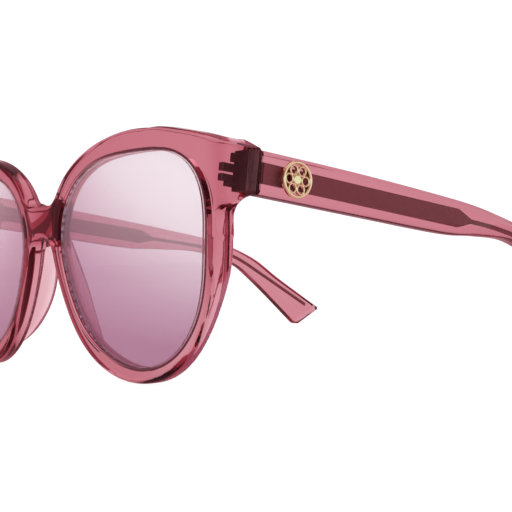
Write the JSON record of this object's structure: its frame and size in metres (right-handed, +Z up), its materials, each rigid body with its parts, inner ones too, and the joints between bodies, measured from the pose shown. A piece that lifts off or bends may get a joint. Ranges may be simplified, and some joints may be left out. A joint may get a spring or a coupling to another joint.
{
  "type": "sunglasses",
  "caption": "Cat eye sunglasses in clear tinted acetate with gradient lenses, wire cored temples, a round openwork badge on each temple and temples that fold on hinges.",
  "frame": {"origin": "middle of the glasses' bounding box on the table they rest on", "axes": "+X to the wearer's left, +Y from the front back along the temples, +Z up"},
  "size_m": [0.1482, 0.1456, 0.0575],
  "materials": {
    "acetate": "polished clear raspberry acetate",
    "lens": "gradient tint with a thin mirror coat",
    "core_metal": "finely hatched",
    "hinge_steel": "satin",
    "gold": "polished pale gold"
  },
  "bodies": {
    "front": {"front_frame": "acetate", "left_lens": "lens", "right_lens": "lens", "left_nose_pad": "acetate", "right_nose_pad": "acetate", "left_front_hinge": "hinge_steel", "right_front_hinge": "hinge_steel", "left_hinge_screw": "hinge_steel", "right_hinge_screw": "hinge_steel"},
    "left_temple_arm": {"left_temple": "acetate", "left_core_wire": "core_metal", "left_temple_hinge": "hinge_steel", "left_badge": "gold"},
    "right_temple_arm": {"right_temple": "acetate", "right_core_wire": "core_metal", "right_temple_hinge": "hinge_steel", "right_badge": "gold"}
  },
  "joints": [
    {"name": "left_temple_fold", "type": "hinge", "parent": "front", "child": "left_temple_arm", "pos_m": [0.0676, -0.05911, 0.04547], "axis": [0, 0.1699, 0.9855], "range_deg": [0, 84]},
    {"name": "right_temple_fold", "type": "hinge", "parent": "front", "child": "right_temple_arm", "pos_m": [-0.0676, -0.05911, 0.04547], "axis": [0, -0.1699, -0.9855], "range_deg": [0, 70]}
  ]
}
